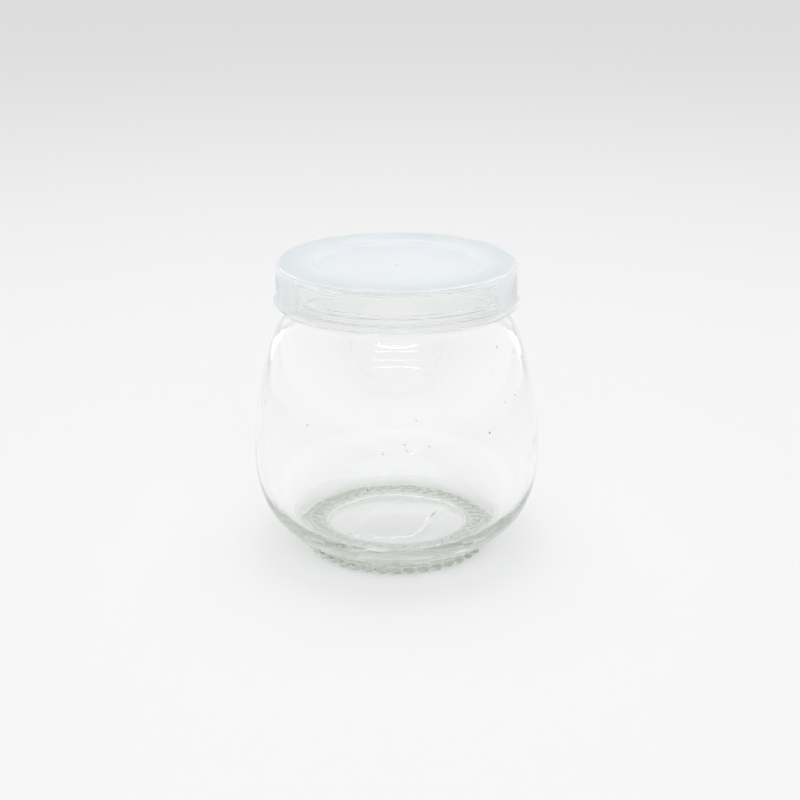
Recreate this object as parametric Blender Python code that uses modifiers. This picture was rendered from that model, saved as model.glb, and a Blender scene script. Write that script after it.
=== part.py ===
"""Empty pot-bellied glass jar with its push-on plastic lid.

Metres, +Z up. The origin is the middle of the foot, on the surface that the jar stands on.
Two pieces: the jar, one piece of clear glass with a knurled foot ring, and the lid.
"""
import math

import bmesh
import bpy
from mathutils import Vector
from mathutils.geometry import interpolate_bezier

MM = 0.001

# Glass body: radii and heights of its outside
BELLY_R = 36.0 * MM
BELLY_Z = 26.2 * MM
SHOULDER_R = 27.2 * MM
SHOULDER_Z = 60.9 * MM
SHOULDER_SLOPE = math.radians(30.0)
SHOULDER_PULL = 4.7 * MM
BELLY_PULL_UP = 11.7 * MM
BELLY_PULL_DOWN = 13.2 * MM
HEEL_R = 22.5 * MM
HEEL_Z = 2.05 * MM
HEEL_SLOPE = math.radians(27.0)
HEEL_PULL = 11.1 * MM

# Glass wall and floor
BELLY_WALL = 1.2 * MM
FLOOR_Z = 5.3 * MM
FLOOR_R = 17.0 * MM
CREASE_R = 26.7 * MM
CREASE_Z = 6.5 * MM
CREASE_SLOPE = math.radians(42.0)
CREASE_PULL = 7.0 * MM
INNER_PULL_DOWN = 12.0 * MM
INNER_PULL_UP = 14.0 * MM
BORE_SLOPE = math.radians(45.0)
BORE_PULL = 7.0 * MM

# Neck and rim
NECK_R = 26.7 * MM
BORE_R = 24.3 * MM
BORE_FOOT_Z = 61.0 * MM
RIM_Z = 72.4 * MM
RIM_ROUND = 1.2 * MM
BEAD_R = 27.0 * MM
BEAD_FOOT_Z = 70.8 * MM
NECK_FOOT_Z = 61.7 * MM

# Foot: a ring of slanted knurls under the heel
KNURLS = 40
SAMPLES_PER_KNURL = 3
FOOT_TOP_R = 23.5 * MM
FOOT_TOP_Z = 1.5 * MM
FOOT_R = 23.75 * MM
FOOT_WIDEST_Z = 0.95 * MM
TREAD_OUTER_R = 22.6 * MM
TREAD_INNER_R = 19.9 * MM
FOOT_INNER_R = 19.0 * MM
FOOT_INNER_Z = 0.52 * MM
FOOT_ROOT_R = 21.4 * MM
FOOT_ROOT_Z = 1.85 * MM
KNURL_DEPTH = 0.38
KNURL_SLANT = math.radians(24.0)
PUSH_UP_R = 18.0 * MM
PUSH_UP_EDGE_Z = 0.95 * MM
PUSH_UP_Z = 1.6 * MM

# Lid
LID_TOP_Z = 74.1 * MM
LID_R = 29.45 * MM
LID_CORNER = 0.8 * MM
LID_WALL = 1.05 * MM
SKIRT_FOOT_R = 29.75 * MM
SKIRT_FOOT_Z = 65.1 * MM
FLANGE_R = 30.2 * MM
FLANGE_Z = 64.7 * MM
LID_FOOT_Z = 64.0 * MM
PANEL_R = 19.9 * MM
PANEL_DROP = 1.4 * MM
PANEL_WALL = 1.0 * MM
RECESS_R = 20.5 * MM
LID_GAP = 0.35 * MM
SNAP_Z = 67.6 * MM
SNAP_HALF = 0.55 * MM
SNAP_FLAT_HALF = 0.11 * MM
LOWER_RIB_R = 27.7 * MM
LOWER_RIB_Z = 65.9 * MM
LIP_INNER_R = 29.0 * MM

# Fineness: straight stretches along a curved wall and along the heel, points on a quarter round
WALL_STRETCHES = 7
HEEL_STRETCHES = 8
ROUND_POINTS = 3
LID_STEPS = 60

# Every turned profile is merged round the axis within this distance
MERGE = 0.01 * MM
SHARP_EDGE = math.radians(50.0)

# Surfaces
GLASS_COLOUR = (0.90, 0.95, 0.92)
GLASS_ROUGHNESS = 0.02
GLASS_IOR = 1.52
PLASTIC_COLOUR = (0.80, 0.87, 0.92)
PLASTIC_ROUGHNESS = 0.2
PLASTIC_CLEARNESS = 0.6
PLASTIC_IOR = 1.5


def bezier(start, start_handle, end_handle, end, count):
    """Points along one cubic stretch, without its first point."""
    knots = [Vector((r, z)) for r, z in (start, start_handle, end_handle, end)]
    return [tuple(p) for p in interpolate_bezier(*knots, count + 1)[1:]]


def quarter(centre, radius, first, last):
    """Points on a circle of the profile from the first to the last angle, in degrees."""
    points = []
    for i in range(ROUND_POINTS):
        angle = math.radians(first + (last - first) * i / (ROUND_POINTS - 1))
        points.append((centre[0] + radius * math.cos(angle), centre[1] + radius * math.sin(angle)))
    return points


def inside_of_jar():
    """The floor, out to the crease at its edge, then up the inner wall to the top of the bore."""
    inner_belly = (BELLY_R - BELLY_WALL, BELLY_Z)
    bore_foot = (BORE_R, BORE_FOOT_Z)
    crease = (CREASE_R, CREASE_Z)
    points = [(0.0, FLOOR_Z), (FLOOR_R, FLOOR_Z), crease]
    above_crease = (CREASE_R + CREASE_PULL * math.cos(CREASE_SLOPE),
                    CREASE_Z + CREASE_PULL * math.sin(CREASE_SLOPE))
    points += bezier(crease, above_crease, (inner_belly[0], BELLY_Z - INNER_PULL_DOWN), inner_belly,
                     WALL_STRETCHES)
    bore_handle = (BORE_R + BORE_PULL * math.cos(BORE_SLOPE),
                   BORE_FOOT_Z - BORE_PULL * math.sin(BORE_SLOPE))
    points += bezier(inner_belly, (inner_belly[0], BELLY_Z + INNER_PULL_UP),
                     bore_handle, bore_foot, WALL_STRETCHES)
    return points


def rim_and_neck():
    """Over the rounded rim, round the bead and down the straight neck."""
    rim_round_z = RIM_Z - RIM_ROUND
    inner = quarter((BORE_R + RIM_ROUND, rim_round_z), RIM_ROUND, 180.0, 90.0)
    outer = quarter((BEAD_R - RIM_ROUND, rim_round_z), RIM_ROUND, 90.0, 0.0)
    bead_underside = [(BEAD_R, BEAD_FOOT_Z + (BEAD_R - NECK_R)), (NECK_R, BEAD_FOOT_Z)]
    return inner + outer + bead_underside + [(NECK_R, NECK_FOOT_Z)]


def outside_of_body():
    """From the neck over the shoulder and the belly, and under at the heel."""
    shoulder = (SHOULDER_R, SHOULDER_Z)
    shoulder_handle = (SHOULDER_R + SHOULDER_PULL * math.cos(SHOULDER_SLOPE),
                       SHOULDER_Z - SHOULDER_PULL * math.sin(SHOULDER_SLOPE))
    belly = (BELLY_R, BELLY_Z)
    heel_handle = (HEEL_R + HEEL_PULL * math.cos(HEEL_SLOPE),
                   HEEL_Z + HEEL_PULL * math.sin(HEEL_SLOPE))
    points = [shoulder]
    points += bezier(shoulder, shoulder_handle, (BELLY_R, BELLY_Z + BELLY_PULL_UP), belly,
                     WALL_STRETCHES)
    points += bezier(belly, (BELLY_R, BELLY_Z - BELLY_PULL_DOWN), heel_handle, (HEEL_R, HEEL_Z),
                     HEEL_STRETCHES)
    return points


def foot_ring():
    """The foot at the crest of a knurl, from its outside to its inner end."""
    halfway = math.radians(45.0)
    edge = (TREAD_OUTER_R + (FOOT_R - TREAD_OUTER_R) * math.sin(halfway),
            FOOT_WIDEST_Z * (1.0 - math.cos(halfway)))
    return [(FOOT_TOP_R, FOOT_TOP_Z), (FOOT_R, FOOT_WIDEST_Z), edge, (TREAD_OUTER_R, 0.0),
            (TREAD_INNER_R, 0.0), (FOOT_INNER_R, FOOT_INNER_Z)]


def base():
    """The shallow push-up in the middle of the base."""
    return [(PUSH_UP_R, PUSH_UP_EDGE_Z), (0.0, PUSH_UP_Z)]


def turned(name, profile, steps, collection):
    """One solid turned from a profile that runs down its outer side."""
    mesh = bpy.data.meshes.new(name)
    mesh.from_pydata([(r, 0.0, z) for r, z in profile],
                     [(i, i + 1) for i in range(len(profile) - 1)], [])
    piece = bpy.data.objects.new(name, mesh)
    collection.objects.link(piece)
    screw = piece.modifiers.new("turn", "SCREW")
    screw.axis = "Z"
    screw.steps = steps
    screw.render_steps = steps
    screw.use_merge_vertices = True
    screw.merge_threshold = MERGE
    screw.use_normal_calculate = False
    return piece


def applied(piece):
    """The piece with its modifiers worked into its mesh."""
    graph = bpy.context.evaluated_depsgraph_get()
    mesh = bpy.data.meshes.new_from_object(piece.evaluated_get(graph))
    piece.modifiers.clear()
    piece.data = mesh
    return piece


def knurl(piece, foot_profile):
    """Sinks the hollows between the knurls towards the root of the foot, and slants them."""
    travelled = {}
    length = 0.0
    last = foot_profile[0]
    for point in foot_profile:
        length += math.dist(last, point)
        travelled[point] = length
        last = point
    middle = length / 2
    pitch = math.tau / (KNURLS * SAMPLES_PER_KNURL)
    shape = bmesh.new()
    shape.from_mesh(piece.data)
    for vertex in shape.verts:
        r = math.hypot(vertex.co.x, vertex.co.y)
        z = vertex.co.z
        nearest = min(foot_profile, key=lambda point: math.dist(point, (r, z)))
        if math.dist(nearest, (r, z)) > MERGE:
            continue
        angle = math.atan2(vertex.co.y, vertex.co.x)
        sample = round(angle / pitch) % SAMPLES_PER_KNURL
        if sample == SAMPLES_PER_KNURL - 1:
            r += (FOOT_ROOT_R - r) * KNURL_DEPTH
            z += (FOOT_ROOT_Z - z) * KNURL_DEPTH
        angle += (travelled[nearest] - middle) * math.tan(KNURL_SLANT) / TREAD_OUTER_R
        vertex.co = (r * math.cos(angle), r * math.sin(angle), z)
    shape.to_mesh(piece.data)
    shape.free()


def make_jar(collection):
    """The glass jar, one piece."""
    foot = foot_ring()
    profile = inside_of_jar() + rim_and_neck() + outside_of_body() + foot + base()
    jar = applied(turned("jar", profile, KNURLS * SAMPLES_PER_KNURL, collection))
    knurl(jar, foot)
    return jar


def make_lid(collection):
    """The lid: a sunk panel, a flat ring, a skirt with two ribs inside and a flange below."""
    top_round = (LID_R - LID_CORNER, LID_TOP_Z - LID_CORNER)
    under_top_z = RIM_Z + LID_GAP
    panel_z = LID_TOP_Z - PANEL_DROP
    skirt_inner_r = LID_R - LID_WALL
    snap_r = NECK_R + LID_GAP
    profile = [(0.0, panel_z), (PANEL_R, panel_z), (RECESS_R, LID_TOP_Z)]
    profile += quarter(top_round, LID_CORNER, 90.0, 0.0)
    profile += [(SKIRT_FOOT_R, SKIRT_FOOT_Z), (FLANGE_R, FLANGE_Z), (FLANGE_R, LID_FOOT_Z)]
    profile += [(LIP_INNER_R, LID_FOOT_Z), (skirt_inner_r, LOWER_RIB_Z - SNAP_HALF)]
    profile += [(LOWER_RIB_R, LOWER_RIB_Z), (skirt_inner_r, LOWER_RIB_Z + SNAP_HALF)]
    profile += [(snap_r, SNAP_Z - SNAP_FLAT_HALF), (snap_r, SNAP_Z + SNAP_FLAT_HALF)]
    profile += [(skirt_inner_r, SNAP_Z + SNAP_HALF), (skirt_inner_r, under_top_z)]
    profile += [(RECESS_R + PANEL_WALL, under_top_z), (PANEL_R + PANEL_WALL, panel_z - PANEL_WALL)]
    profile += [(0.0, panel_z - PANEL_WALL)]
    return turned("lid", profile, LID_STEPS, collection)


def clear_glass():
    """Soda-lime glass with a faint green tint."""
    return material("clear_glass", GLASS_COLOUR, GLASS_ROUGHNESS, 1.0, GLASS_IOR)


def lid_plastic():
    """Milky translucent plastic."""
    return material("lid_plastic", PLASTIC_COLOUR, PLASTIC_ROUGHNESS, PLASTIC_CLEARNESS, PLASTIC_IOR)


def material(name, colour, roughness, transmission, ior):
    """A plain surface of one colour."""
    made = bpy.data.materials.new(name)
    made.use_nodes = True
    shader = made.node_tree.nodes["Principled BSDF"]
    shader.inputs["Base Color"].default_value = (*colour, 1.0)
    shader.inputs["Metallic"].default_value = 0.0
    shader.inputs["Roughness"].default_value = roughness
    shader.inputs["Transmission Weight"].default_value = transmission
    shader.inputs["IOR"].default_value = ior
    return made


def smooth(piece):
    """Round pieces shade smooth, with their corners kept sharp."""
    piece.data.shade_smooth()
    piece.data.set_sharp_from_angle(angle=SHARP_EDGE)


def build():
    for old in list(bpy.data.objects):
        bpy.data.objects.remove(old, do_unlink=True)
    collection = bpy.data.collections.new("glass_jar")
    bpy.context.scene.collection.children.link(collection)
    jar = make_jar(collection)
    lid = applied(make_lid(collection))
    jar.data.materials.append(clear_glass())
    lid.data.materials.append(lid_plastic())
    for piece in (jar, lid):
        smooth(piece)


build()
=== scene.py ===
import math

import bpy
import numpy as np
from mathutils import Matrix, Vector
from mathutils.geometry import interpolate_bezier


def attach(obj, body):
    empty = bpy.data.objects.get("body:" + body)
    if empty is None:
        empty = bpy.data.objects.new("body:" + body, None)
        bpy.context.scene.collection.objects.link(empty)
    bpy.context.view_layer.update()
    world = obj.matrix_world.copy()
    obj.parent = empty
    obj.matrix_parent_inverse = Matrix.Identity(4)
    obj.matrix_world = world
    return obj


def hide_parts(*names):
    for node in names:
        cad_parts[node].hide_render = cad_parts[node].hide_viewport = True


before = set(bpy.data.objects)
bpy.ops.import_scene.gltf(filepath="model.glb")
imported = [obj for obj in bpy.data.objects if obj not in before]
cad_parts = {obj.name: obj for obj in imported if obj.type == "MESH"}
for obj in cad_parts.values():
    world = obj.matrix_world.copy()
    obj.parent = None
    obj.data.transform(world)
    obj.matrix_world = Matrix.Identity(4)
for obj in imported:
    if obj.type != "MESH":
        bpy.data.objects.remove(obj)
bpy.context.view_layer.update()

# The jar: one piece of clear soda-lime glass, blown into a mould. The mould gives a true outside
# and a foot ring of slanted knurls, while the inside wavers and the rim is melted round. Sizes
# are in millimetres and slopes in degrees, and a pull is how far a curve's handle reaches.
MM = 0.001
BELLY_R, BELLY_Z = 36.0, 26.2
SHOULDER_R, SHOULDER_Z = 27.2, 60.9
SHOULDER_SLOPE, SHOULDER_PULL = 30.0, 4.7
BELLY_PULL_UP, BELLY_PULL_DOWN = 11.7, 13.2
HEEL_R, HEEL_Z = 22.5, 2.05
HEEL_SLOPE, HEEL_PULL = 27.0, 11.1
BELLY_WALL = 1.2
FLOOR_Z, FLOOR_R, FLOOR_PULL = 5.3, 17.0, 1.5
FLOOR_PLAIN_R = 3.0
CREASE = (26.7, 6.2)
CREASE_IN_SLOPE, CREASE_IN_PULL = 6.0, 3.0
CREASE_OUT_SLOPE, CREASE_OUT_PULL = 42.0, 7.0
CREASE_RIDGE, CREASE_RIDGE_HALF = 0.2, 0.4
CURVE_POINTS, NEAR_CREASE, ARC_STEPS = 200, 30, 12
INNER_PULL_DOWN, INNER_PULL_UP = 12.0, 14.0
BORE_SLOPE, BORE_PULL = 45.0, 7.0
BORE_R, BORE_FOOT_Z = 24.3, 61.0
NECK_R, NECK_FOOT_Z = 26.7, 61.7
RIM_Z, RIM_ROUND = 72.4, 1.2
BEAD_R, BEAD_FOOT_Z = 27.0, 70.8
FOOT_TOP = (23.5, 1.5)
FOOT_WIDEST = (23.75, 0.95)
FOOT_ROUND = 1.05
TREAD_OUTER_R, TREAD_INNER_R = 22.6, 19.9
FOOT_INNER = (19.0, 0.52)
PUSH_UP_R, PUSH_UP_EDGE_Z, PUSH_UP_Z = 18.0, 0.95, 1.6
JAR_STEPS = 400
GLASS_SEED = 7
# The knurls: sunk gaps towards a root line, full from one radius outwards, steeper on one side.
KNURLS, KNURL_DEPTH, KNURL_SLANT = 40, 0.5, 24.0
KNURL_ROOT = (21.4, 1.85)
KNURL_FULL_R = 21.6
KNURL_SKEW, KNURL_CROWN = 0.2, 0.8
# What blowing leaves inside: a wavering wall, a crease that strays, and more glass at the front.
WAVER, WAVER_FADE, RIM_TRUE = 0.05, 6.0, 2.0
WAVER_ACROSS, WAVER_UP = 11.11, 4.762
CREASE_STRAY, CREASE_REACH = 0.6, 3.0
FLOOR_EDGE_STRAY, FLOOR_EDGE_REACH = 0.12, 2.0
STRAY_WAVES, STRAY_CLIMB = 3.5, 0.45
SETTLED, SETTLED_FROM_R, SETTLED_TO_Z, SETTLED_CURVE = 0.85, 14.0, 26.0, 1.5
SETTLED_FROM, SETTLED_FULL = 0.15, -0.75
WELD = 0.002


def polar(centre, radius, degrees):
    """A point of the profile at an angle round a centre, 0 outwards and 90 up."""
    angle = math.radians(degrees)
    return (centre[0] + radius * math.cos(angle), centre[1] + radius * math.sin(angle))


def bent(start, start_handle, end_handle, end):
    """A curved stretch of a profile, much finer than it is drawn in the end."""
    knots = [Vector((r, z)) for r, z in (start, start_handle, end_handle, end)]
    return [tuple(point) for point in interpolate_bezier(*knots, CURVE_POINTS)]


def rounded(centre, radius, first, last):
    """A round corner of a profile."""
    return [polar(centre, radius, degrees) for degrees in np.linspace(first, last, ARC_STEPS + 1)]


def travelled(points):
    """How far along the profile each of its points lies."""
    return np.concatenate([[0.0], np.cumsum(np.hypot(*np.diff(points, axis=0).T))])


def spaced(points, spacing):
    """The same stretch with its points about evenly spaced, both ends kept."""
    points = np.array(points)
    along = travelled(points)
    at = np.linspace(0.0, along[-1], max(1, round(along[-1] / spacing)) + 1)
    return np.column_stack([np.interp(at, along, points[:, 0]), np.interp(at, along, points[:, 1])])


def joined(*stretches):
    """One profile from stretches, each with its spacing and starting where the last one ends."""
    parts = [spaced(*stretches[0])]
    for points, spacing in stretches[1:]:
        parts.append(spaced([parts[-1][-1], *points], spacing)[1:])
    return np.vstack(parts)


def melted(points, rounds):
    """The profile with its corners softened, as heat leaves them."""
    points = points.copy()
    for _ in range(rounds):
        middle = (points[:-2] + points[2:]) / 2
        points[1:-1] += 0.5 * (middle - points[1:-1])
    return points


def between(values, start, end):
    """How far the values have come from a start to an end, from 0 to 1."""
    return np.clip((values - start) / (end - start), 0.0, 1.0)


def node(tree, kind, inputs=None, **settings):
    """A node with its settings, and a value, a socket or a node's first output in each input."""
    made = tree.nodes.new(kind)
    for name, value in settings.items():
        setattr(made, name, value)
    for name, value in (inputs or {}).items():
        if isinstance(value, bpy.types.Node):
            value = value.outputs[0]
        if isinstance(value, bpy.types.NodeSocket):
            tree.links.new(value, made.inputs[name])
        else:
            made.inputs[name].default_value = value
    return made


def new_tree(name, start, **sizes):
    """An empty tree of steps that takes a start to work on and the named sizes."""
    tree = bpy.data.node_groups.new(name, "GeometryNodeTree")
    ports = tree.interface
    ports.new_socket(start, in_out="INPUT", socket_type="NodeSocketGeometry")
    for label, kind in sizes.items():
        ports.new_socket(label.replace("_", " "), in_out="INPUT", socket_type="NodeSocket" + kind)
    ports.new_socket("Geometry", in_out="OUTPUT", socket_type="NodeSocketGeometry")
    return tree, node(tree, "NodeGroupInput").outputs


def turning_tree():
    """Turns a profile about the Z axis into one closed skin, with knurls and a wavering side."""
    tree, given = new_tree("turned", "Profile", Steps="Int", Knurls="Int", Knurl_depth="Float",
                           Lean="Float", Root_radius="Float", Root_height="Float", Waver="Float",
                           Seed="Float", Material="Material")
    profile = given["Profile"]
    count = node(tree, "GeometryNodeAttributeDomainSize", {"Geometry": profile})
    columns = node(tree, "ShaderNodeMath", {0: given["Steps"], 1: 1.0}, operation="ADD")
    grid = node(tree, "GeometryNodeMeshGrid", {"Vertices X": columns, "Vertices Y": count})
    index = node(tree, "GeometryNodeInputIndex")
    row = node(tree, "ShaderNodeMath", {0: index, 1: count}, operation="FLOORED_MODULO")
    half_on = node(tree, "ShaderNodeMath", {0: index, 1: 0.5}, operation="ADD")
    rows_on = node(tree, "ShaderNodeMath", {0: half_on, 1: count}, operation="DIVIDE")
    column = node(tree, "ShaderNodeMath", {0: rows_on}, operation="FLOOR")

    def carried(name):
        """A number that each point of the profile carries, for every point of the skin."""
        value = node(tree, "GeometryNodeInputNamedAttribute", {"Name": name}, data_type="FLOAT")
        return node(tree, "GeometryNodeSampleIndex",
                    {"Geometry": profile, "Value": value.outputs["Attribute"], "Index": row},
                    data_type="FLOAT").outputs["Value"]

    radius, height, sink, along = map(carried, ("radius", "height", "sink", "along"))
    inside, milk, stray, settled = map(carried, ("inside", "milk", "stray", "settled"))
    whole_turn = node(tree, "ShaderNodeMath", {0: column, 1: math.tau}, operation="MULTIPLY")
    angle = node(tree, "ShaderNodeMath", {0: whole_turn, 1: given["Steps"]}, operation="DIVIDE")
    east = node(tree, "ShaderNodeMath", {0: angle}, operation="COSINE")
    north = node(tree, "ShaderNodeMath", {0: angle}, operation="SINE")

    # The knurls: a crown and a gap in turn, slanted along the profile and pushed to one side.
    leant = node(tree, "ShaderNodeMath", {0: along, 1: given["Lean"]}, operation="MULTIPLY")
    turned_back = node(tree, "ShaderNodeMath", {0: angle, 1: leant}, operation="SUBTRACT")
    all_turns = node(tree, "ShaderNodeMath", {0: turned_back, 1: given["Knurls"]}, operation="MULTIPLY")
    even_half = node(tree, "ShaderNodeMath", {0: all_turns, 1: 0.5}, operation="MULTIPLY")
    whole = node(tree, "ShaderNodeMath", {0: even_half, 1: 2.0}, operation="MULTIPLY")
    push = node(tree, "ShaderNodeMath", {0: whole}, operation="COSINE")
    half = node(tree, "ShaderNodeMath", {0: push, 1: -KNURL_SKEW, 2: even_half}, operation="MULTIPLY_ADD")
    wave = node(tree, "ShaderNodeMath", {0: half}, operation="COSINE")
    bead = node(tree, "ShaderNodeMath", {0: wave}, operation="ABSOLUTE")
    crown = node(tree, "ShaderNodeMath", {0: bead, 1: KNURL_CROWN}, operation="POWER")
    gap = node(tree, "ShaderNodeMath", {0: 1.0, 1: crown}, operation="SUBTRACT")
    gap_here = node(tree, "ShaderNodeMath", {0: gap, 1: sink}, operation="MULTIPLY")
    sunk = node(tree, "ShaderNodeMath", {0: gap_here, 1: given["Knurl depth"]}, operation="MULTIPLY")
    in_left = node(tree, "ShaderNodeMath", {0: given["Root radius"], 1: radius}, operation="SUBTRACT")
    up_left = node(tree, "ShaderNodeMath", {0: given["Root height"], 1: height}, operation="SUBTRACT")
    radius = node(tree, "ShaderNodeMath", {0: in_left, 1: sunk, 2: radius}, operation="MULTIPLY_ADD")
    height = node(tree, "ShaderNodeMath", {0: up_left, 1: sunk, 2: height}, operation="MULTIPLY_ADD")

    # The crease strays in and out, rising as it goes out, and the glass has settled at the front.
    on_ring = node(tree, "ShaderNodeCombineXYZ", {"X": east, "Y": north})
    ragged = node(tree, "ShaderNodeTexNoise",
                  {"Vector": on_ring, "W": given["Seed"], "Scale": STRAY_WAVES, "Detail": 3.0,
                   "Roughness": 0.6}, noise_dimensions="4D")
    both_ways = node(tree, "ShaderNodeMath", {0: ragged, 1: 4.0, 2: -2.0}, operation="MULTIPLY_ADD")
    strayed = node(tree, "ShaderNodeMath", {0: stray, 1: both_ways}, operation="MULTIPLY")
    radius = node(tree, "ShaderNodeMath", {0: radius, 1: strayed}, operation="ADD")
    height = node(tree, "ShaderNodeMath", {0: strayed, 1: STRAY_CLIMB, 2: height},
                  operation="MULTIPLY_ADD")
    forward = node(tree, "ShaderNodeMapRange",
                   {"Value": north, "From Min": SETTLED_FROM, "From Max": SETTLED_FULL},
                   interpolation_type="SMOOTHSTEP")
    height = node(tree, "ShaderNodeMath", {0: settled, 1: forward, 2: height}, operation="MULTIPLY_ADD")
    place = node(tree, "ShaderNodeCombineXYZ",
                 {"X": node(tree, "ShaderNodeMath", {0: radius, 1: east}, operation="MULTIPLY"),
                  "Y": node(tree, "ShaderNodeMath", {0: radius, 1: north}, operation="MULTIPLY"),
                  "Z": height})
    kept = node(tree, "GeometryNodeSetPosition", {"Geometry": grid, "Position": place})
    for name, value in (("inside", inside), ("milk", milk)):
        kept = node(tree, "GeometryNodeStoreNamedAttribute",
                    {"Geometry": kept, "Name": name, "Value": value},
                    data_type="FLOAT", domain="POINT")
    closed = node(tree, "GeometryNodeMergeByDistance", {"Geometry": kept, "Distance": WELD * MM})

    # The inner wall wavers in and out.
    waves = [1.0 / (WAVER_ACROSS * MM), 1.0 / (WAVER_ACROSS * MM), 1.0 / (WAVER_UP * MM)]
    here = node(tree, "GeometryNodeInputPosition")
    stretched = node(tree, "ShaderNodeVectorMath", {0: here, 1: waves}, operation="MULTIPLY")
    cloud = node(tree, "ShaderNodeTexNoise",
                 {"Vector": stretched, "W": given["Seed"], "Scale": 1.0, "Detail": 1.0},
                 noise_dimensions="4D")
    inner_side = node(tree, "GeometryNodeInputNamedAttribute", {"Name": "inside"}, data_type="FLOAT")
    swing = node(tree, "ShaderNodeMath", {0: cloud, 1: 0.5}, operation="SUBTRACT")
    swing = node(tree, "ShaderNodeMath", {0: swing, 1: 2.0}, operation="MULTIPLY")
    swing = node(tree, "ShaderNodeMath", {0: swing, 1: given["Waver"]}, operation="MULTIPLY")
    swing = node(tree, "ShaderNodeMath", {0: swing, 1: inner_side.outputs["Attribute"]},
                 operation="MULTIPLY")
    outward = node(tree, "GeometryNodeInputNormal")
    shift = node(tree, "ShaderNodeVectorMath", {0: outward, "Scale": swing}, operation="SCALE")
    wavering = node(tree, "GeometryNodeSetPosition", {"Geometry": closed, "Offset": shift})
    outwards = node(tree, "GeometryNodeFlipFaces", {"Mesh": wavering})
    smooth = node(tree, "GeometryNodeSetShadeSmooth", {"Geometry": outwards})
    real = node(tree, "GeometryNodeRealizeInstances", {"Geometry": smooth})
    dressed = node(tree, "GeometryNodeSetMaterial", {"Geometry": real, "Material": given["Material"]})
    node(tree, "NodeGroupOutput", {"Geometry": dressed})
    return tree


def carrying(name, points, edges, carries):
    """An object of bare points and lines, each point with the named numbers that it carries."""
    mesh = bpy.data.meshes.new(name)
    mesh.from_pydata(points, edges, [])
    for label, values in carries.items():
        held = mesh.attributes.new(label, "FLOAT", "POINT")
        held.data.foreach_set("value", np.asarray(values, dtype=np.float32))
    made = bpy.data.objects.new(name, mesh)
    bpy.context.scene.collection.objects.link(made)
    return made


def worked(start, tree, values):
    """What a tree makes of an object, as a plain mesh object of that name at the origin."""
    work = start.modifiers.new(tree.name, "NODES")
    work.node_group = tree
    sockets = {item.name: item.identifier for item in tree.interface.items_tree
               if item.item_type == "SOCKET" and item.in_out == "INPUT"}
    for label, value in values.items():
        work[sockets[label]] = value
    bpy.context.view_layer.update()
    graph = bpy.context.evaluated_depsgraph_get()
    mesh = bpy.data.meshes.new_from_object(start.evaluated_get(graph))
    name = start.name
    bpy.data.objects.remove(start, do_unlink=True)
    made = bpy.data.objects.new(name, mesh)
    bpy.context.scene.collection.objects.link(made)
    return made


TURNED = turning_tree()


def turned(name, profile, carries, sizes):
    """One piece turned from a profile in millimetres, with what each point carries."""
    along = travelled(profile)
    carries = {"radius": profile[:, 0] * MM, "height": profile[:, 1] * MM,
               "along": np.zeros(len(profile)), **carries}
    if "sink" in carries:
        middle = (along * carries["sink"]).sum() / carries["sink"].sum()
        carries["along"] = (along - middle) * MM
    points = [(r * MM, 0.0, z * MM) for r, z in profile]
    lines = [(i, i + 1) for i in range(len(profile) - 1)]
    return worked(carrying(name, points, lines, carries), TURNED, sizes)


def jar_profile():
    """The glass in section, from the middle of the floor inside to the middle of the base."""
    inner_belly = (BELLY_R - BELLY_WALL, BELLY_Z)
    bore_foot = (BORE_R, BORE_FOOT_Z)
    shoulder = (SHOULDER_R, SHOULDER_Z)
    heel = (HEEL_R, HEEL_Z)
    rim_middle = (BORE_R + RIM_ROUND, RIM_Z - RIM_ROUND)
    bead_middle = (BEAD_R - RIM_ROUND, RIM_Z - RIM_ROUND)
    to_belly = bent(CREASE, polar(CREASE, CREASE_OUT_PULL, CREASE_OUT_SLOPE),
                    (inner_belly[0], BELLY_Z - INNER_PULL_DOWN), inner_belly)
    return joined(
        ([(0.0, FLOOR_Z), (FLOOR_PLAIN_R, FLOOR_Z)], 0.8),
        ([(FLOOR_R, FLOOR_Z)], 0.3),
        (bent((FLOOR_R, FLOOR_Z), (FLOOR_R + FLOOR_PULL, FLOOR_Z),
              polar(CREASE, -CREASE_IN_PULL, CREASE_IN_SLOPE), CREASE), 0.32),
        (to_belly[:NEAR_CREASE], 0.36),
        (to_belly[NEAR_CREASE:], 1.5),
        (bent(inner_belly, (inner_belly[0], BELLY_Z + INNER_PULL_UP),
              polar(bore_foot, BORE_PULL, -BORE_SLOPE), bore_foot), 1.6),
        ([(BORE_R, rim_middle[1])], 1.6),
        (rounded(rim_middle, RIM_ROUND, 180.0, 90.0), 0.4),
        ([(bead_middle[0], RIM_Z)], 0.4),
        (rounded(bead_middle, RIM_ROUND, 90.0, 0.0), 0.3),
        ([(BEAD_R, BEAD_FOOT_Z + BEAD_R - NECK_R), (NECK_R, BEAD_FOOT_Z)], 0.4),
        ([(NECK_R, NECK_FOOT_Z), shoulder], 0.8),
        (bent(shoulder, polar(shoulder, SHOULDER_PULL, -SHOULDER_SLOPE),
              (BELLY_R, BELLY_Z + BELLY_PULL_UP), (BELLY_R, BELLY_Z)), 1.5),
        (bent((BELLY_R, BELLY_Z), (BELLY_R, BELLY_Z - BELLY_PULL_DOWN),
              polar(heel, HEEL_PULL, HEEL_SLOPE), heel), 1.4),
        ([FOOT_TOP, FOOT_WIDEST, polar((TREAD_OUTER_R, FOOT_WIDEST[1]), FOOT_ROUND, -45.0),
          (TREAD_OUTER_R, 0.0), (TREAD_INNER_R, 0.0), FOOT_INNER, (PUSH_UP_R, PUSH_UP_EDGE_Z)], 0.28),
        ([(0.0, PUSH_UP_Z)], 1.5))


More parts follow.
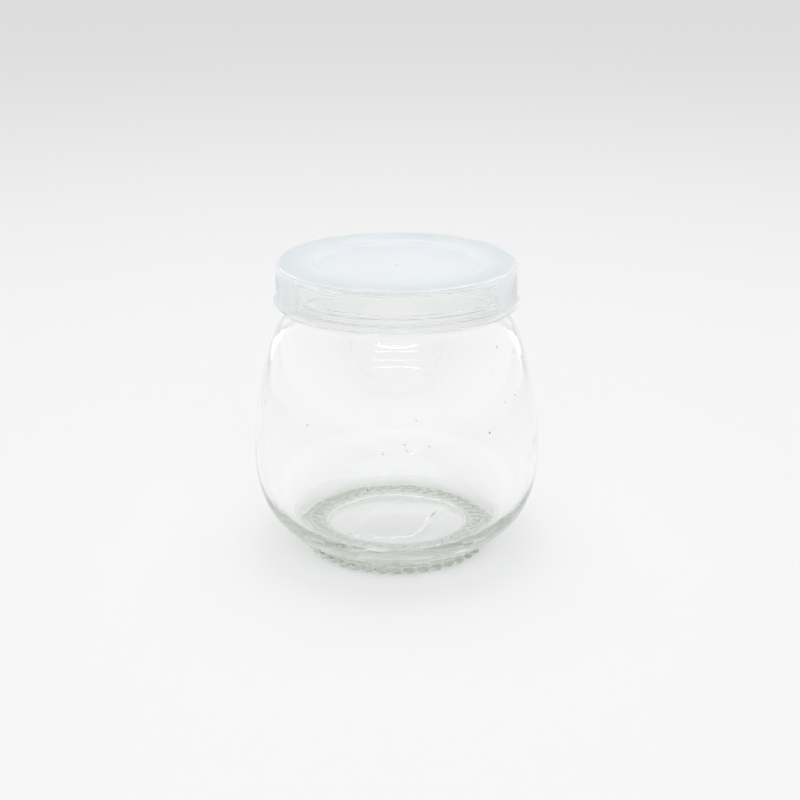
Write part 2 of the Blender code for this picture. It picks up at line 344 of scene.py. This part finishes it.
def srgb(code, alpha=1.0):
    """A hex colour as the linear numbers that the shaders take."""
    values = [int(code[i:i + 2], 16) / 255 for i in (1, 3, 5)]
    return (*(v / 12.92 if v <= 0.04045 else ((v + 0.055) / 1.055) ** 2.4 for v in values), alpha)


def new_material(name):
    """A new material with its tree and its one Principled shader."""
    made = bpy.data.materials.new(name)
    made.use_nodes = True
    return made, made.node_tree, made.node_tree.nodes["Principled BSDF"]


# Soda-lime glass: nearly no colour in a thin wall, grey-green where it is thick or seen edge on.
# The foot and the knurls are also given a darker colour of painted shade.
GLASS_IOR = 1.52
CLEAR_WALL, FOOT_TINT_AND_SHADE, KNURL_TINT_AND_SHADE, THROUGH_TINT = "#FFFFFF", "#DDE1DA", "#C5CCC0", "#BCC6B8"
THROUGH_DENSITY = 11.0
RIPPLE_SIZE, RIPPLE_HEIGHT, RIPPLE_STRETCH = 5.882, 0.012, 2.0
CHILL_SIZE, CHILL_SHARE = 0.7692, 0.05
SMEAR_SIZE, SMEAR_FROM, SMEAR_FULL, SMEAR_ROUGH = 16.67, 0.45, 0.75, 0.03
TREAD_ROUGH, TREAD_ROUGH_Z, TREAD_POLISHED_Z = 0.4, 0.3, 1.0
# Where the painted shade of the foot and the knurls lies.
FOOT_TINT_SHADE_INNER_R, FOOT_TINT_SHADE_R = 18.2, 19.0
FOOT_TINT_SHADE_Z, FOOT_TINT_SHADE_END_Z = 1.8, 4.2
KNURL_TINT_SHADE_INNER_R, KNURL_TINT_SHADE_R = 21.6, 22.6
KNURL_TINT_SHADE_Z, KNURL_TINT_SHADE_END_Z = 1.5, 2.1


def soda_lime_glass():
    """Clear glass: mould ripples and fine chill marks shift the light, the tread is stippled dull."""
    made, tree, shader = new_material("soda_lime_glass")
    shader.inputs["IOR"].default_value = GLASS_IOR
    shader.inputs["Transmission Weight"].default_value = 1.0
    here = node(tree, "ShaderNodeTexCoord").outputs["Object"]

    # Ripples of a few millimetres, flatter than they are wide, under a fine chill from the mould.
    drawn = node(tree, "ShaderNodeMapping", {"Vector": here, "Scale": (1.0, 1.0, RIPPLE_STRETCH)})
    ripple = node(tree, "ShaderNodeTexNoise",
                  {"Vector": drawn, "Scale": 1.0 / (RIPPLE_SIZE * MM), "Detail": 2.0})
    chill = node(tree, "ShaderNodeTexNoise",
                 {"Vector": here, "Scale": 1.0 / (CHILL_SIZE * MM), "Detail": 1.0})
    height = node(tree, "ShaderNodeMath", {0: chill, 1: CHILL_SHARE, 2: ripple}, operation="MULTIPLY_ADD")
    bump = node(tree, "ShaderNodeBump",
                {"Height": height, "Strength": 1.0, "Distance": RIPPLE_HEIGHT * MM})
    tree.links.new(bump.outputs[0], shader.inputs["Normal"])

    # Polished with a few faint smears, and dull on the stippled tread that the jar stands on.
    smear = node(tree, "ShaderNodeTexNoise",
                 {"Vector": here, "Scale": 1.0 / (SMEAR_SIZE * MM), "Detail": 4.0})
    smeared = node(tree, "ShaderNodeMapRange",
                   {"Value": smear, "From Min": SMEAR_FROM, "From Max": SMEAR_FULL, "To Min": 0.0,
                    "To Max": SMEAR_ROUGH})
    height_up = node(tree, "ShaderNodeSeparateXYZ", {0: here}).outputs["Z"]
    stippled = node(tree, "ShaderNodeMapRange",
                    {"Value": height_up, "From Min": TREAD_ROUGH_Z * MM, "From Max": TREAD_POLISHED_Z * MM,
                     "To Min": TREAD_ROUGH, "To Max": 0.0})
    rough = node(tree, "ShaderNodeMath", {0: smeared, 1: stippled}, operation="MAXIMUM")
    tree.links.new(rough.outputs[0], shader.inputs["Roughness"])

    # Grey-green in the foot, and more so on the outer face of the knurls. This is partly the glass's
    # own colour and partly painted shade for the dark contact shadow that they look into. A mix has
    # its two colours at inputs 6 and 7.
    level = node(tree, "ShaderNodeVectorMath", {0: here, 1: (1.0, 1.0, 0.0)}, operation="MULTIPLY")
    from_axis = node(tree, "ShaderNodeVectorMath", {0: level}, operation="LENGTH").outputs["Value"]
    foot_out = node(tree, "ShaderNodeMapRange",
                    {"Value": from_axis, "From Min": FOOT_TINT_SHADE_INNER_R * MM, "From Max": FOOT_TINT_SHADE_R * MM})
    foot_low = node(tree, "ShaderNodeMapRange",
                    {"Value": height_up, "From Min": FOOT_TINT_SHADE_Z * MM, "From Max": FOOT_TINT_SHADE_END_Z * MM,
                     "To Min": 1.0, "To Max": 0.0})
    foot_tint_and_shade = node(tree, "ShaderNodeMath", {0: foot_low, 1: foot_out}, operation="MULTIPLY")
    body = node(tree, "ShaderNodeMix", {0: foot_tint_and_shade, 6: srgb(CLEAR_WALL), 7: srgb(FOOT_TINT_AND_SHADE)},
                data_type="RGBA").outputs[2]
    knurl_out = node(tree, "ShaderNodeMapRange",
                     {"Value": from_axis, "From Min": KNURL_TINT_SHADE_INNER_R * MM,
                      "From Max": KNURL_TINT_SHADE_R * MM})
    knurl_low = node(tree, "ShaderNodeMapRange",
                     {"Value": height_up, "From Min": KNURL_TINT_SHADE_Z * MM,
                      "From Max": KNURL_TINT_SHADE_END_Z * MM, "To Min": 1.0, "To Max": 0.0})
    knurl_tint_and_shade = node(tree, "ShaderNodeMath", {0: knurl_out, 1: knurl_low}, operation="MULTIPLY")
    body = node(tree, "ShaderNodeMix", {0: knurl_tint_and_shade, 6: body, 7: srgb(KNURL_TINT_AND_SHADE)},
                data_type="RGBA").outputs[2]
    tree.links.new(body, shader.inputs["Base Color"])
    through = node(tree, "ShaderNodeVolumeAbsorption",
                   {"Color": srgb(THROUGH_TINT), "Density": THROUGH_DENSITY})
    tree.links.new(through.outputs[0], tree.nodes["Material Output"].inputs["Volume"])
    return made


section = melted(jar_profile(), 2)
section[:, 1] = np.maximum(section[:, 1], 0.0)
order = np.arange(len(section))
foot_side = (section[:, 1] < HEEL_Z) & (order > len(section) // 2)
knurled = between(section[:, 0], TREAD_INNER_R, KNURL_FULL_R) * between(section[:, 1], HEEL_Z, FOOT_TOP[1])
top_of_inside = int(np.argmax(section[:, 1]))
wavers = between(section[:, 0], 0.0, WAVER_FADE)
wavers *= between(section[:, 1], RIM_Z - RIM_TRUE, RIM_Z - RIM_TRUE - WAVER_FADE)
inner_low = order < int(np.argmax(section[:, 0]))
from_crease = np.hypot(section[:, 0] - CREASE[0], section[:, 1] - CREASE[1])
strays = between(from_crease, CREASE_REACH, 0.0) ** 2
strays += FLOOR_EDGE_STRAY * between(np.abs(section[:, 0] - FLOOR_R), FLOOR_EDGE_REACH, 0.0) ** 2
section[:, 1] += np.where(inner_low, CREASE_RIDGE * np.exp(-(from_crease / CREASE_RIDGE_HALF) ** 2), 0.0)
settles = between(section[:, 0], SETTLED_FROM_R, CREASE[0]) ** SETTLED_CURVE
settles *= between(section[:, 1], SETTLED_TO_Z, CREASE[1]) ** SETTLED_CURVE
glass = turned("glass_jar", section,
               {"sink": np.where(foot_side, knurled, 0.0),
                "inside": np.where(order < top_of_inside, wavers, 0.0),
                "stray": np.where(inner_low, strays, 0.0) * CREASE_STRAY * MM,
                "settled": np.where(inner_low, settles, 0.0) * SETTLED * MM},
               {"Steps": JAR_STEPS, "Knurls": KNURLS, "Knurl depth": KNURL_DEPTH,
                "Lean": math.tan(math.radians(KNURL_SLANT)) / (TREAD_OUTER_R * MM),
                "Root radius": KNURL_ROOT[0] * MM, "Root height": KNURL_ROOT[1] * MM,
                "Waver": WAVER * MM, "Seed": float(GLASS_SEED), "Material": soda_lime_glass()})

# The fold: where the gathered glass closed over itself on the floor inside, a low raised skin
# with a clear edge at its left, front and right. It fades out towards the back.
FOLD_LEFT = ((-12.7, -13.8), (-10.4, -7.0), (-7.3, 0.8), (-3.9, 11.3))
FOLD_FRONT = ((-12.5, -14.6), (-9.1, -16.6), (-5.2, -17.0), (-1.4, -16.2), (1.8, -16.0),
              (3.5, -15.3))
FOLD_RIGHT = ((3.5, -15.4), (5.0, -12.1), (6.8, -7.9), (7.8, -2.7), (10.9, 4.4))
FOLD_RISE, FOLD_EDGE = 0.45, 0.35
FOLD_STEP, FOLD_SLOPE = 0.55, 2.5
FOLD_FADE_FROM, FOLD_FADE_TO = -2.0, 9.0
FOLD_FLOOR_R, FOLD_FLOOR_Z = 22.0, 1.2


def eased(share):
    """A share from 0 to 1 with a soft start and end."""
    return share * share * (3.0 - 2.0 * share)


def fold(x, y):
    """How far the fold stands up, in millimetres, over a place on the floor."""
    left_x, left_y = np.transpose(FOLD_LEFT)
    right_x, right_y = np.transpose(FOLD_RIGHT)
    front_x, front_y = np.transpose(FOLD_FRONT)
    in_from_left = eased(between(x - np.interp(y, left_y, left_x), 0.0, FOLD_EDGE))
    in_from_front = eased(between(y - np.interp(x, front_x, front_y), 0.0, FOLD_EDGE))
    over_right = x - np.interp(y, right_y, right_x)
    past_right = FOLD_STEP * eased(between(over_right, 0.0, FOLD_EDGE))
    past_right += (1.0 - FOLD_STEP) * between(over_right, 0.0, FOLD_SLOPE)
    towards_back = eased(between(y, FOLD_FADE_FROM, FOLD_FADE_TO))
    return FOLD_RISE * in_from_left * in_from_front * (1.0 - past_right) * (1.0 - towards_back)


corners = len(glass.data.vertices)
skin = np.empty(corners * 3, dtype=np.float32)
glass.data.vertices.foreach_get("co", skin)
skin = skin.reshape(corners, 3)
on_floor = np.hypot(skin[:, 0], skin[:, 1]) < FOLD_FLOOR_R * MM
on_floor &= np.abs(skin[:, 2] - FLOOR_Z * MM) < FOLD_FLOOR_Z * MM
skin[:, 2] += np.where(on_floor, fold(skin[:, 0] / MM, skin[:, 1] / MM) * MM, 0.0)
glass.data.vertices.foreach_set("co", skin.ravel())
glass.data.update()
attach(glass, "root")
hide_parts("jar")

# The grains: specks of sand that never melted, caught in the glass wall and some drawn out with
# it. Each row has a grain's degrees round the jar, its height, its length and width as shares of
# the full size, and its turn.
GRAINS = ((-127.8, 40.9, 0.88, 0.85, 0.0), (-50.6, 38.9, 1.0, 1.0, 40.0),
          (-36.4, 57.1, 0.8, 0.8, 10.0), (-24.3, 54.3, 0.8, 0.7, 70.0),
          (-31.8, 45.1, 0.9, 0.9, 30.0), (-39.8, 44.6, 0.7, 0.7, 0.0),
          (-82.3, 44.3, 0.7, 0.6, 80.0), (-44.6, 51.8, 0.6, 0.6, 20.0),
          (-16.6, 30.2, 0.8, 0.8, 50.0), (-151.6, 29.3, 0.8, 0.8, 0.0),
          (-159.6, 41.4, 0.9, 0.9, 60.0), (-155.9, 36.9, 0.5, 0.5, 0.0),
          (-87.0, 38.9, 1.7, 0.3, -28.0), (-86.1, 37.4, 1.1, 0.28, -8.0),
          (-77.3, 38.2, 1.6, 0.32, 38.0), (-95.4, 36.7, 0.8, 0.6, 0.0))
GRAIN_R, GRAIN_DEPTH = 0.24, 0.5
GRAIN_LEAST, GRAIN_MOST = (0.75, 0.7, 0.7), (1.1, 1.0, 1.0)
GRAIN_SEED = 3
LUMP_SIZE, FLECK_SIZE = 0.1818, 0.1111
SAND_DARK, SAND_LIGHT = "#5E5D58", "#A5A196"
SAND_ROUGH_LEAST, SAND_ROUGH_MOST = 0.45, 0.75
SAND_PITS, SAND_PITTED = 0.01, 0.6


def grains_tree():
    """Sets one uneven lump on every point, faced outwards, turned and drawn out."""
    tree, given = new_tree("grains", "Places", Size="Float", Seed="Int", Material="Material")
    ball = node(tree, "GeometryNodeMeshIcoSphere", {"Radius": given["Size"], "Subdivisions": 3})
    lumps = node(tree, "ShaderNodeTexNoise", {"Scale": 1.0 / (LUMP_SIZE * MM), "Detail": 1.0})
    outward = node(tree, "GeometryNodeInputNormal")
    uneven = node(tree, "ShaderNodeMath", {0: lumps, 1: 0.5}, operation="SUBTRACT")
    swing = node(tree, "ShaderNodeMath", {0: uneven, 1: given["Size"]}, operation="MULTIPLY")
    shift = node(tree, "ShaderNodeVectorMath", {0: outward, "Scale": swing}, operation="SCALE")
    uneven_ball = node(tree, "GeometryNodeSetPosition", {"Geometry": ball, "Offset": shift})
    lump = node(tree, "GeometryNodeSetShadeSmooth", {"Geometry": uneven_ball})
    here = node(tree, "GeometryNodeInputPosition")
    level = node(tree, "ShaderNodeVectorMath", {0: here, 1: (1.0, 1.0, 0.0)}, operation="MULTIPLY")
    faced = node(tree, "FunctionNodeAlignRotationToVector", {"Vector": level}, axis="Z")
    turn = node(tree, "GeometryNodeInputNamedAttribute", {"Name": "turn"}, data_type="FLOAT")
    about = node(tree, "ShaderNodeCombineXYZ", {"Z": turn.outputs["Attribute"]})
    turned_by = node(tree, "FunctionNodeEulerToRotation", {"Euler": about})
    facing = node(tree, "FunctionNodeRotateRotation", {"Rotation": faced, "Rotate By": turned_by},
                  rotation_space="LOCAL")
    long = node(tree, "GeometryNodeInputNamedAttribute", {"Name": "long"}, data_type="FLOAT")
    wide = node(tree, "GeometryNodeInputNamedAttribute", {"Name": "wide"}, data_type="FLOAT")
    drawn = node(tree, "ShaderNodeCombineXYZ",
                 {"X": long.outputs["Attribute"], "Y": wide.outputs["Attribute"],
                  "Z": wide.outputs["Attribute"]})
    spread = node(tree, "FunctionNodeRandomValue",
                  {"Min": GRAIN_LEAST, "Max": GRAIN_MOST, "Seed": given["Seed"]},
                  data_type="FLOAT_VECTOR")
    size = node(tree, "ShaderNodeVectorMath", {0: spread, 1: drawn}, operation="MULTIPLY")
    placed = node(tree, "GeometryNodeInstanceOnPoints",
                  {"Points": given["Places"], "Instance": lump, "Rotation": facing, "Scale": size})
    real = node(tree, "GeometryNodeRealizeInstances", {"Geometry": placed})
    dressed = node(tree, "GeometryNodeSetMaterial", {"Geometry": real, "Material": given["Material"]})
    node(tree, "NodeGroupOutput", {"Geometry": dressed})
    return tree


def unmelted_sand():
    """Grey-brown quartz sand: dull, with darker and lighter flecks and a pitted skin."""
    made, tree, shader = new_material("unmelted_sand")
    here = node(tree, "ShaderNodeTexCoord").outputs["Object"]
    flecks = node(tree, "ShaderNodeTexNoise",
                  {"Vector": here, "Scale": 1.0 / (FLECK_SIZE * MM), "Detail": 2.0})
    shade = node(tree, "ShaderNodeValToRGB", {"Fac": flecks})
    shade.color_ramp.elements[0].color = srgb(SAND_DARK)
    shade.color_ramp.elements[1].color = srgb(SAND_LIGHT)
    rough = node(tree, "ShaderNodeMapRange",
                 {"Value": flecks, "To Min": SAND_ROUGH_LEAST, "To Max": SAND_ROUGH_MOST})
    bump = node(tree, "ShaderNodeBump",
                {"Height": flecks, "Strength": SAND_PITTED, "Distance": SAND_PITS * MM})
    tree.links.new(shade.outputs[0], shader.inputs["Base Color"])
    tree.links.new(rough.outputs[0], shader.inputs["Roughness"])
    tree.links.new(bump.outputs[0], shader.inputs["Normal"])
    return made


outer = section[top_of_inside:]
outer = outer[outer[:, 1] > HEEL_Z][::-1]
places = []
for degrees, z, long, wide, turn in GRAINS:
    x, y = polar((0.0, 0.0), np.interp(z, outer[:, 1], outer[:, 0]) - GRAIN_DEPTH, degrees)
    places.append((x * MM, y * MM, z * MM))
carries = {"long": [grain[2] for grain in GRAINS], "wide": [grain[3] for grain in GRAINS],
           "turn": [math.radians(grain[4]) for grain in GRAINS]}
grains = worked(carrying("sand_grains", places, [], carries), grains_tree(),
                {"Size": GRAIN_R * MM, "Seed": GRAIN_SEED, "Material": unmelted_sand()})
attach(grains, "root")

# The lid: one moulding of translucent polypropylene that snaps over the rim. Its middle is sunk
# for stacking, two ribs inside the skirt grip the bead, a small flange ends the skirt, and the
# gate left a low pip in the middle.
LID_TOP_Z, LID_R, LID_CORNER, LID_WALL = 74.1, 29.45, 0.8, 1.05
SKIRT_FOOT = (29.75, 65.1)
FLANGE_R, FLANGE_Z, LID_FOOT_Z = 30.2, 64.7, 64.0
LIP_INNER_R = 29.0
PANEL_R, PANEL_DROP, PANEL_WALL, RECESS_R = 19.9, 1.4, 1.0, 20.5
RECESS_ROUND, RECESS_PULL = 0.4, 0.3
LID_GAP = 0.35
SNAP_RIB = (67.65, 0.45, 0.35)
LOWER_RIB = (65.8, 0.3, 0.3)
RIB_EDGE, RIB_STEPS = 0.14, 8
GATE_R, GATE_RISE, GATE_MOAT = 0.45, 0.2, 0.06
LID_STEPS = 360
# Milkiness by place, as the share of the light that is scattered: the top, its underside, the
# thin skirt, and what is added where a wall is seen edge on.
MILK_TOP, MILK_UNDER, MILK_SKIRT, GRAZING_MILK = 0.93, 0.5, 0.04, 0.7
MILK_FOOT_Z, MILK_FADE, MILK_UNDER_FADE, MILK_DEPTH = 73.7, 0.15, 0.3, 1.0
GRAZING_BLEND = 0.3


def lid_profile():
    """The lid in section, from the middle of its top to the middle of its underside."""
    panel_z = LID_TOP_Z - PANEL_DROP
    under_top_z = RIM_Z + LID_GAP
    skirt_inner_r = LID_R - LID_WALL
    side_slope = math.degrees(math.atan2(PANEL_DROP, RECESS_R - PANEL_R))

    def eased_corner(corner, slope_in, slope_out):
        """A corner of the recess, rounded between the two slopes that meet there."""
        pull = RECESS_PULL * RECESS_ROUND
        return bent(polar(corner, -RECESS_ROUND, slope_in), polar(corner, -pull, slope_in),
                    polar(corner, pull, slope_out), polar(corner, RECESS_ROUND, slope_out))

    def rib(height, half, depth):
        """A flat rib with soft edges on the inside of the skirt, upwards."""
        climb = [(skirt_inner_r - depth * (1.0 - math.cos(math.pi * share)) / 2,
                  height - half - RIB_EDGE / 2 + RIB_EDGE * share)
                 for share in np.linspace(0.0, 1.0, RIB_STEPS + 1)]
        return climb + [(r, 2 * height - z) for r, z in reversed(climb)]

    return joined(
        ([(0.0, panel_z + GATE_RISE), (GATE_R, panel_z + GATE_RISE), (GATE_R, panel_z - GATE_MOAT),
          (2 * GATE_R, panel_z - GATE_MOAT), (3 * GATE_R, panel_z)], 0.1),
        ([(PANEL_R - RECESS_ROUND, panel_z)], 1.2),
        (eased_corner((PANEL_R, panel_z), 0.0, side_slope), 0.1),
        (eased_corner((RECESS_R, LID_TOP_Z), side_slope, 0.0), 0.1),
        ([(LID_R - LID_CORNER, LID_TOP_Z)], 0.4),
        (rounded((LID_R - LID_CORNER, LID_TOP_Z - LID_CORNER), LID_CORNER, 90.0, 0.0), 0.15),
        ([SKIRT_FOOT], 0.5),
        ([(FLANGE_R, FLANGE_Z), (FLANGE_R, LID_FOOT_Z), (LIP_INNER_R, LID_FOOT_Z)], 0.15),
        (rib(*LOWER_RIB), 0.06),
        (rib(*SNAP_RIB), 0.06),
        ([(skirt_inner_r, under_top_z)], 0.4),
        ([(RECESS_R + PANEL_WALL, under_top_z)], 0.4),
        ([(PANEL_R + PANEL_WALL, panel_z - PANEL_WALL)], 0.2),
        ([(0.0, panel_z - PANEL_WALL)], 1.2))


# Polypropylene: nearly clear in a thin wall, and blue-white where the light is scattered back.
PLASTIC_IOR = 1.49
PLASTIC_CLEAR, PLASTIC_MILK, PLASTIC_GLOW = "#FEFFFE", "#F7FAFF", "#FBFDFF"
FLOW_SIZE, GRAIN_SIZE, GRAIN_SHARE, FLOW_HEIGHT = 4.545, 0.3846, 0.12, 0.008
POLISHED_LEAST, POLISHED_MOST = 0.01, 0.06
RUBBED_LEAST, RUBBED_MOST = 0.14, 0.32
SHINE, SHINE_ROUGH = 0.7, 0.04
GLOW_SHARE = 0.85


def milky_polypropylene():
    """Thin moulded polypropylene: gloss from the mould, and a milkiness that throws blue back."""
    made, tree, shader = new_material("milky_polypropylene")
    shader.inputs["Base Color"].default_value = srgb(PLASTIC_CLEAR)
    shader.inputs["IOR"].default_value = PLASTIC_IOR
    shader.inputs["Transmission Weight"].default_value = 1.0
    here = node(tree, "ShaderNodeTexCoord").outputs["Object"]
    flow = node(tree, "ShaderNodeTexNoise",
                {"Vector": here, "Scale": 1.0 / (FLOW_SIZE * MM), "Detail": 3.0})
    grain = node(tree, "ShaderNodeTexNoise",
                 {"Vector": here, "Scale": 1.0 / (GRAIN_SIZE * MM), "Detail": 1.0})
    height = node(tree, "ShaderNodeMath", {0: grain, 1: GRAIN_SHARE, 2: flow}, operation="MULTIPLY_ADD")
    bump = node(tree, "ShaderNodeBump",
                {"Height": height, "Strength": 1.0, "Distance": FLOW_HEIGHT * MM})
    polished = node(tree, "ShaderNodeMapRange",
                    {"Value": flow, "To Min": POLISHED_LEAST, "To Max": POLISHED_MOST})
    rubbed = node(tree, "ShaderNodeMapRange",
                  {"Value": flow, "To Min": RUBBED_LEAST, "To Max": RUBBED_MOST})
    tree.links.new(bump.outputs[0], shader.inputs["Normal"])
    tree.links.new(polished.outputs[0], shader.inputs["Roughness"])
    back = node(tree, "ShaderNodeBsdfPrincipled",
                {"Base Color": srgb(PLASTIC_MILK), "Roughness": rubbed, "IOR": PLASTIC_IOR,
                 "Normal": bump, "Coat Weight": SHINE, "Coat Roughness": SHINE_ROUGH,
                 "Coat IOR": PLASTIC_IOR})
    glow = node(tree, "ShaderNodeBsdfTranslucent", {"Color": srgb(PLASTIC_GLOW)})
    milk = node(tree, "ShaderNodeMixShader", {0: GLOW_SHARE, 1: back, 2: glow})
    held = node(tree, "ShaderNodeAttribute", attribute_name="milk").outputs["Fac"]
    facing = node(tree, "ShaderNodeLayerWeight", {"Blend": GRAZING_BLEND}).outputs["Facing"]
    grazing = node(tree, "ShaderNodeMapRange", {"Value": facing, "To Min": 0.0, "To Max": GRAZING_MILK})
    share = node(tree, "ShaderNodeMath", {0: held, 1: grazing}, operation="ADD", use_clamp=True)
    both = node(tree, "ShaderNodeMixShader", {0: share, 1: shader, 2: milk})
    tree.links.new(both.outputs[0], tree.nodes["Material Output"].inputs["Surface"])
    return made


lid_section = melted(lid_profile(), 1)
lid_r, lid_z = lid_section.T
underside = np.arange(len(lid_section)) > int(np.argmin(lid_z))
in_top = lid_z > RIM_Z - MILK_DEPTH
milk_above = np.where(lid_r < LID_R - LID_CORNER, 1.0, between(lid_z, MILK_FOOT_Z, MILK_FOOT_Z + MILK_FADE))
milk_below = between(lid_r, LID_R - LID_WALL, LID_R - LID_WALL - MILK_UNDER_FADE)
milk_share = np.where(underside, (MILK_UNDER - MILK_SKIRT) * milk_below,
                      (MILK_TOP - MILK_SKIRT) * milk_above)
lid = turned("push_on_lid", lid_section, {"milk": MILK_SKIRT + milk_share * in_top},
             {"Steps": LID_STEPS, "Material": milky_polypropylene()})
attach(lid, "root")
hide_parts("lid")

# The stage: a wide flat disc of matt white card that the jar stands on, and the soft light of a
# small light tent, with bright walls, a dimmer ceiling, one soft lamp above and two thin bars
# of lamps at the upper front.
FLOOR_RADIUS, FLOOR_CORNERS = 6.0, 64
CARD_WHITE, CARD_ROUGH, CARD_SHINE = "#F2F2F2", 0.9, 0.1
WALL_LIGHT, TOP_LIGHT = 1.15, 0.62
LIGHT_BETWEEN = ((0.25, 1.15), (0.5, 0.92), (0.8, 0.68), (0.87, 0.62))
BARS = (("upper_bar", math.radians(53.0), 0.28), ("lower_bar", math.radians(39.0), 0.36))
BAR_REACH, BAR_BACK, BAR_DEPTH, BAR_WATTS = 0.42, 0.03, 0.003, 0.07
JAR_MIDDLE = (0.0, 0.0, 0.06)
CEILING_Y, CEILING_Z, CEILING_SIZE, CEILING_WATTS = 0.1, 0.7, 0.6, 1.32


def white_card():
    """Matt white card: no shine, so that the stage only shows the jar's shadow."""
    made, tree, shader = new_material("white_card")
    shader.inputs["Base Color"].default_value = srgb(CARD_WHITE)
    shader.inputs["Roughness"].default_value = CARD_ROUGH
    shader.inputs["Specular IOR Level"].default_value = CARD_SHINE
    return made


disc = bpy.data.meshes.new("floor")
round_edge = [polar((0.0, 0.0), FLOOR_RADIUS, 360.0 * i / FLOOR_CORNERS) for i in range(FLOOR_CORNERS)]
disc.from_pydata([(x, y, 0.0) for x, y in round_edge], [], [tuple(range(FLOOR_CORNERS))])
disc.materials.append(white_card())
floor = bpy.data.objects.new("floor", disc)
bpy.context.scene.collection.objects.link(floor)

tent = bpy.data.worlds.new("tent")
bpy.context.scene.world = tent
tent.use_nodes = True
around = node(tent.node_tree, "ShaderNodeTexCoord").outputs["Generated"]
upwards = node(tent.node_tree, "ShaderNodeSeparateXYZ", {0: around}).outputs["Z"]
walls = node(tent.node_tree, "ShaderNodeValToRGB", {"Fac": upwards})
stops = walls.color_ramp.elements
stops[0].color = (WALL_LIGHT, WALL_LIGHT, WALL_LIGHT, 1.0)
stops[1].color = (TOP_LIGHT, TOP_LIGHT, TOP_LIGHT, 1.0)
for position, level in LIGHT_BETWEEN:
    stop = stops.new(position)
    stop.color = (level, level, level, 1.0)
tent.node_tree.links.new(walls.outputs[0], tent.node_tree.nodes["Background"].inputs["Color"])


def lamp(name, place, aim, size, watts):
    """A flat lamp that faces a point and isn't seen itself."""
    data = bpy.data.lights.new(name, "AREA")
    data.shape = "RECTANGLE"
    data.size, data.size_y = size
    data.energy = watts
    made = bpy.data.objects.new(name, data)
    bpy.context.scene.collection.objects.link(made)
    made.location = place
    made.rotation_euler = (Vector(aim) - Vector(place)).to_track_quat("-Z", "Y").to_euler()
    made.visible_camera = False


for name, rise, width in BARS:
    place = (0.0, -BAR_BACK - BAR_REACH * math.cos(rise), JAR_MIDDLE[2] + BAR_REACH * math.sin(rise))
    lamp(name, place, JAR_MIDDLE, (width, BAR_DEPTH), BAR_WATTS)
lamp("ceiling", (0.0, CEILING_Y, CEILING_Z), (0.0, CEILING_Y, 0.0), (CEILING_SIZE, CEILING_SIZE),
     CEILING_WATTS)

# The camera stands in front of the jar, a little above it, and its lens and shift give the
# picture its framing. Light has to pass many walls of glass and lid before it gets out.
CAMERA_BACK, CAMERA_HEIGHT, CAMERA_DOWN = 0.3488, 0.1626, math.radians(19.72)
CAMERA_PIXELS, CAMERA_SHIFT, PICTURE_PIXELS, SENSOR = 1465.3, 0.0042, 800, 36.0
WALL_PASSES, CLEAR_PASSES, GLOSS_FILTER = 64, 32, 0.05

lens = bpy.data.cameras.new("camera")
lens.sensor_width = SENSOR
lens.lens = SENSOR * CAMERA_PIXELS / PICTURE_PIXELS
lens.shift_x = CAMERA_SHIFT
lens.clip_start = 0.01
camera = bpy.data.objects.new("camera", lens)
bpy.context.scene.collection.objects.link(camera)
camera.location = (0.0, -CAMERA_BACK, CAMERA_HEIGHT)
camera.rotation_euler = (math.pi / 2 - CAMERA_DOWN, 0.0, 0.0)
bpy.context.scene.camera = camera
bpy.context.scene.view_settings.view_transform = "Standard"
light_paths = bpy.context.scene.cycles
light_paths.max_bounces = WALL_PASSES
light_paths.glossy_bounces = WALL_PASSES
light_paths.transmission_bounces = WALL_PASSES
light_paths.transparent_max_bounces = CLEAR_PASSES
light_paths.blur_glossy = GLOSS_FILTER
